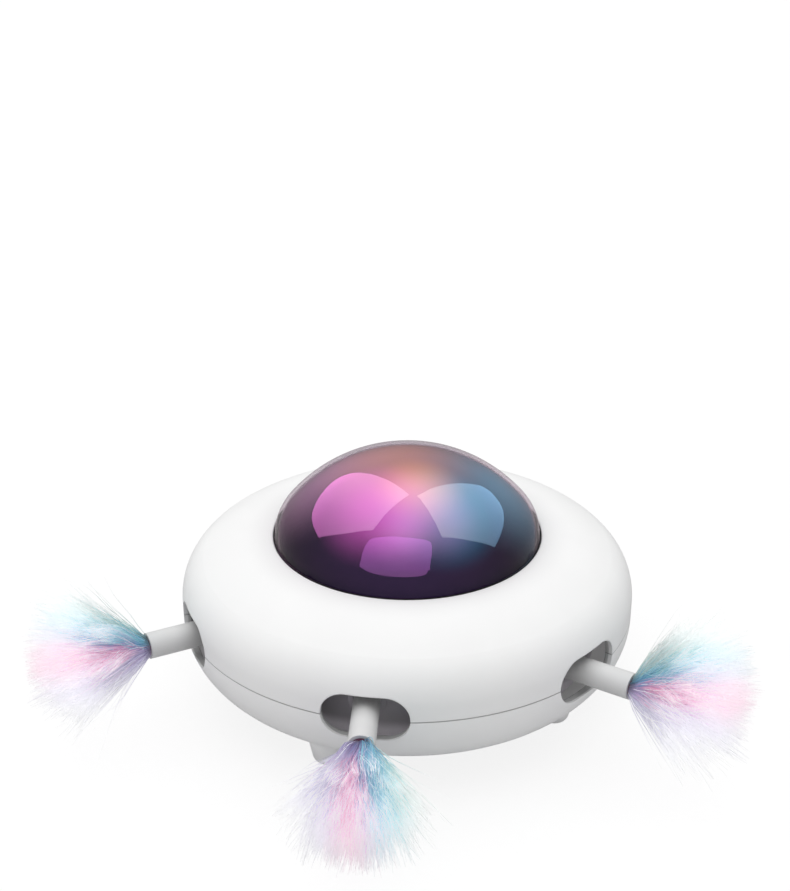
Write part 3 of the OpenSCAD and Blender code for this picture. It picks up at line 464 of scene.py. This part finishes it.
# strand path: root on the tube's end, then out along the wand while the sideways part grows as a power of
# the share s along the strand, and a sine wave grows with s; the strands of a lock share one path and close
# up towards its tip
def strandPaths(rng, s, t, b, w):
    n, locks = b["strands"], b["locks"]
    lock = rng.integers(0, locks, n)
    loose = rng.random(n) < b["loose"]
    stray = loose & (rng.random(n) < b["strayShare"] / b["loose"])

    # a value of its own for a loose strand, and the lock's value for the rest
    def either(draw):
        own, shared = draw(n), draw(locks)
        return np.where(loose, own, shared[lock])

    # shares of the fan thin out towards its edge, so the outline stays soft
    share = np.minimum(b["soft"] * either(lambda k: rng.rayleigh(1.0, k)), b["widestShare"])
    turn = 2 * np.pi * either(rng.random)
    bend = either(lambda k: rng.uniform(*b["bend"], k))[:, None]
    phaseX, phaseZ = (2 * np.pi * either(rng.random)[:, None] for _ in range(2))
    beatX, beatZ = (either(lambda k: rng.uniform(*b["beat"], k))[:, None] for _ in range(2))
    fan = np.radians(np.minimum((t["fan"] + b["strayFan"] * stray) * share, b["widest"]))
    spread = rng.normal(0, b["spread"], (n, 2))
    close = 1 - b["gather"] * s * ~loose[:, None]
    leanX = (fan * np.cos(turn))[:, None] + spread[:, :1] * close
    leanZ = (fan * np.sin(turn))[:, None] + spread[:, 1:] * close
    lengths = b["shortest"] + (1 - b["shortest"]) * rng.random(n) ** b["evenness"]
    reach = t["length"] * lengths * (b["middleReach"] - b["edgeLoss"] * share ** 2)
    reach *= np.where(loose, 1.0, rng.uniform(*b["lockReach"], locks)[lock])
    reach = reach[:, None]
    lean = np.maximum(np.hypot(leanX, leanZ), 1e-9)  # never quite zero
    out = reach * np.sin(lean) / lean * s ** bend
    ahead = reach * np.cos(lean) * s
    wavy = b["wave"] * either(rng.random)[:, None] * s
    root = t["rootRadius"] * np.minimum(1.0, share)
    rootX = (root * np.cos(turn))[:, None] + b["rootSpread"] * spread[:, :1]
    rootZ = (root * np.sin(turn))[:, None] + b["rootSpread"] * spread[:, 1:] - t["rootDrop"]
    pathX = rootX + out * leanX + wavy * np.sin(2 * np.pi * beatX * s + phaseX)
    liftZ = out * leanZ + wavy * np.sin(2 * np.pi * beatZ * s + phaseZ)
    # the tilt grows quickly along the strand, and the roots stay on the plug's face
    tilt = np.radians(t["tilt"]) * np.minimum(1, b["tiltStart"] + b["tiltRate"] * s)
    pathY = np.minimum(liftZ * np.sin(tilt) - ahead * np.cos(tilt), 0) - b["rootGap"]
    pathZ = rootZ + ahead * np.sin(tilt) + liftZ * np.cos(tilt) - b["droop"] * reach * s ** 2
    # a strand that would reach the floor bends along it instead
    room = pathZ + w["height"] - b["lowest"]
    pathZ = 0.5 * (room + np.sqrt(room ** 2 + b["landing"] ** 2)) + b["lowest"] - w["height"]
    return np.stack([pathX, pathY, pathZ], 2), leanX[:, -1], leanZ[:, -1]


# thread: at each point of the path three corners stand round it, on two directions square to the path
def strandRings(rng, s, path, b):
    n = len(path)
    along = np.gradient(path, axis=1)
    along /= np.linalg.norm(along, axis=2, keepdims=True)
    flat = np.cross(along, np.array(b["sideways"]))
    flat /= np.linalg.norm(flat, axis=2, keepdims=True)
    other = np.cross(along, flat)
    width = b["width"] * (b["thinnest"] + b["widthRange"] * rng.random((n, 1)))
    width = width * (1 - b["taper"] * s) * np.minimum(1, b["rootWidth"] + b["rootRate"] * s)
    corner = np.linspace(0, 2 * np.pi, 4)[None, None, :3] + rng.random((n, 1, 1)) * b["cornerTurn"]
    return path[:, :, None, :] + width[:, :, None, None] * (
        np.cos(corner)[..., None] * flat[:, :, None, :] + np.sin(corner)[..., None] * other[:, :, None, :])


# the wand turns about the middle of its slot by azimuth and slant together
def placeOnWand(ring, t, w):
    azimuth, heading = np.radians(t["azimuth"]), np.radians(t["azimuth"] + w["slant"])
    x, y, z = ring[..., 0], ring[..., 1] - w["end"] + w["slotRadius"], ring[..., 2] + w["height"]
    return np.stack([x * np.cos(heading) - y * np.sin(heading) + w["slotRadius"] * np.sin(azimuth),
                     x * np.sin(heading) + y * np.cos(heading) - w["slotRadius"] * np.cos(azimuth), z], -1)


# uv map: place across the fan of colours, share along the strand
def dyeMap(rng, s, piece, leanX, leanZ, t, b):
    n, m = b["strands"], b["rings"]
    turn = np.radians(t["colourTurn"])
    across = (leanX * np.cos(turn) + leanZ * np.sin(turn)) / np.radians(t["fan"]) * 0.5 + 0.5
    across = np.clip(across + rng.normal(0, b["mixed"], n), 0, 1)
    # a few undyed strands lie among the rest
    pale = rng.random(n) < b["pale"]
    # this share along the strand also sets where the painted glow of the barbs rises
    dyed = np.maximum(s ** t["fade"], b["paleFrom"] * pale[:, None])
    vertexUv = np.stack([np.repeat(np.where(pale, np.round(across), across), m * 3), np.repeat(dyed, 3)], 1)
    layer = piece.data.uv_layers.new(name="plume")
    corners = np.empty(len(piece.data.loops), np.int32)
    piece.data.loops.foreach_get("vertex_index", corners)
    layer.data.foreach_set("uv", vertexUv[corners].astype(np.float32).ravel())


def tuftPiece(side, t, b, w, material):
    rng = np.random.default_rng(t["seed"])
    s = np.linspace(0, 1, b["rings"])[None, :]
    path, leanX, leanZ = strandPaths(rng, s, t, b, w)
    points = placeOnWand(strandRings(rng, s, path, b), t, w)
    index = np.arange(points.size // 3).reshape(points.shape[:3])
    after = np.roll(index, -1, axis=2)
    quads = np.stack([index[:, :-1], after[:, :-1], after[:, 1:], index[:, 1:]], -1).reshape(-1, 4)
    caps = np.concatenate([index[:, 0, ::-1].reshape(-1, 3), index[:, -1].reshape(-1, 3)])
    piece = meshPiece("feather_tuft_" + side, points, quads.tolist() + caps.tolist(), material)
    dyeMap(rng, s, piece, leanX, leanZ, t, b)
    piece.visible_shadow = False  # fine barbs let the light through
    piece.visible_glossy = False
    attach(piece, "wand_" + side)
    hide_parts("feather_" + side)
    return piece


plumeFinish = plumes(plumeSet)
for side, t in tufts.items():
    piece = tuftPiece(side, t, tuftSet, wandSet, plumeFinish)
    print("tuft", side, len(piece.data.polygons), "faces")


# pale floor, lit from below as a light table is, so the shadows on it stay faint; less light comes back up
# from it than the picture of it shows, and it is clear from underneath, so the feet and the button can be
# looked at
floorSet = {"size": 12.0, "colour": (0.95, 0.95, 0.95), "darker": 0.01, "clouds": 3.0, "cloudDetail": 2.0,
            "edges": (0.3, 0.7), "gloss": 0.8, "specular": 0.1, "bounce": 0.70, "glow": 0.85}


def makeFloor(f):
    half = f["size"] / 2
    points = np.array([[-half, -half, 0], [half, -half, 0], [half, half, 0], [-half, half, 0]])
    material, tree, shader = newMaterial("paleFloor")
    cloud = noise(tree, objectPoint(tree), f["clouds"], f["cloudDetail"])
    seen = cloudedColour(tree, cloud, f["colour"], f["darker"], f["edges"])
    toCamera = addNode(tree, "ShaderNodeLightPath").outputs["Is Camera Ray"]
    share = mapped(tree, toCamera, 0.0, 1.0, f["bounce"], 1.0)
    tree.links.new(scaledBy(tree, seen, share), shader.inputs["Base Color"])
    setSockets(shader, {"Roughness": f["gloss"], "Specular IOR Level": f["specular"]})
    glow = addNode(tree, "ShaderNodeEmission", {"Color": (1.0, 1.0, 1.0, 1.0), "Strength": 1.0})
    lit = addNode(tree, "ShaderNodeMixShader", {0: mapped(tree, toCamera, 0.0, 1.0, 0.0, f["glow"]),
                  1: shader.outputs["BSDF"], 2: glow.outputs["Emission"]})
    under = addNode(tree, "ShaderNodeNewGeometry").outputs["Backfacing"]
    clear = addNode(tree, "ShaderNodeBsdfTransparent")
    both = addNode(tree, "ShaderNodeMixShader", {0: under, 1: lit.outputs["Shader"],
                   2: clear.outputs["BSDF"]})
    tree.links.new(both.outputs["Shader"], tree.nodes["Material Output"].inputs["Surface"])
    floor = meshPiece("floor", points, [[0, 1, 2, 3]], material)
    floor.visible_glossy = False


# a white backdrop, a softer light from it, and little of it in mirrored light
worldSet = {"backdrop": 1.0, "light": 0.595, "mirrored": 0.38}


def makeWorld(w):
    world = bpy.data.worlds.new("studio")
    world.use_nodes = True
    tree = world.node_tree
    tree.nodes["Background"].inputs["Color"].default_value = (1, 1, 1, 1)
    path = addNode(tree, "ShaderNodeLightPath").outputs
    dim = mapped(tree, path["Is Glossy Ray"], 0.0, 1.0, w["light"], w["light"] * w["mirrored"])
    strength = numberStep(tree, "MULTIPLY_ADD", path["Is Camera Ray"], w["backdrop"] - w["light"], dim)
    tree.links.new(strength, tree.nodes["Background"].inputs["Strength"])
    bpy.context.scene.world = world


# one broad soft lamp overhead
sunSet = {"from": (-0.12, 0.06, 1.0), "spread": 75.0, "strength": 1.78}


def makeSun(s):
    data = bpy.data.lights.new("overhead", "SUN")
    data.energy, data.angle = s["strength"], math.radians(s["spread"])
    light = bpy.data.objects.new("overhead", data)
    bpy.context.scene.collection.objects.link(light)
    light.location = Vector(s["from"])
    light.rotation_mode = "QUATERNION"
    light.rotation_quaternion = (-Vector(s["from"])).to_track_quat("-Z", "Y")
    light.visible_glossy = False


# three tinted panels that only the dome mirrors: the colours of their lower and upper edges, and the
# directions of their corners as azimuth and elevation; a corner given twice stays sharp
panelSet = {"distance": 1.6, "height": 0.09, "level": (0.86, 1.60), "cuts": 2, "cut": 0.25, "panels": [
    ((6.2, 1.7, 5.2), (4.2, 3.3, 4.1), [
        (-144, 28), (-147, 39), (-155, 59), (-173, 72), (-173, 72), (-59, 66), (-59, 66), (-77, 48),
        (-90, 32), (-90, 32), (-109, 26), (-120, 24), (-132, 23), (-140, 24)]),
    ((1.7, 3.1, 4.8), (3.7, 3.8, 3.1), [
        (171, 72), (171, 72), (162, 58), (155, 42), (154, 26), (146, 23), (138, 23), (127, 26), (102, 31),
        (102, 31), (88, 49), (69, 63), (69, 63), (118, 76)]),
    ((2.9, 1.2, 3.2), (3.9, 1.3, 5.1), [
        (-50, 62), (1, 72), (45, 67), (49, 64), (45, 59), (39, 54), (35, 50), (32, 46), (28, 36), (22, 32),
        (13, 31), (3, 30), (-8, 30), (-18, 32), (-28, 35), (-36, 38), (-36, 38), (-43, 49), (-48, 56)]),
]}


def panelGlow(name, lowColour, highColour, p):
    material, tree, _ = newMaterial(name)
    rise = mapped(tree, heightOf(tree, objectPoint(tree)), *p["level"], 0.0, 1.0)
    tint = mixedColour(tree, rise, (*lowColour, 1.0), (*highColour, 1.0))
    glow = addNode(tree, "ShaderNodeEmission", {"Color": tint, "Strength": 1.0})
    tree.links.new(glow.outputs["Emission"], tree.nodes["Material Output"].inputs["Surface"])
    return material


# corner cutting: each side of the outline keeps its middle half, so the corners between them become round
def panelOutline(corners, p):
    azimuth, elevation = np.radians(np.array(corners, float)).T
    points = p["distance"] * np.stack([np.sin(azimuth) * np.cos(elevation),
                                       -np.cos(azimuth) * np.cos(elevation), np.sin(elevation)], 1)
    for _ in range(p["cuts"]):
        step = p["cut"] * (np.roll(points, -1, axis=0) - points)
        points = np.stack([points + step, np.roll(points, -1, axis=0) - step], 1).reshape(-1, 3)
    points[:, 2] += p["height"]
    return points


def makePanels(p):
    dome = bpy.data.collections.new("dome")
    dome.objects.link(cadNodes["dome"])
    for i, (lowColour, highColour, corners) in enumerate(p["panels"]):
        points = panelOutline(corners, p)
        material = panelGlow(f"panelGlow{i}", lowColour, highColour, p)
        panel = meshPiece(f"panel{i}", points, [list(range(len(points)))], material)
        panel.visible_camera = panel.visible_diffuse = panel.visible_shadow = False
        panel.visible_transmission = False
        panel.light_linking.receiver_collection = dome


makeFloor(floorSet)
makeWorld(worldSet)
makeSun(sunSet)
makePanels(panelSet)
bpy.context.scene.view_settings.view_transform = "Standard"
print("stage and light set")
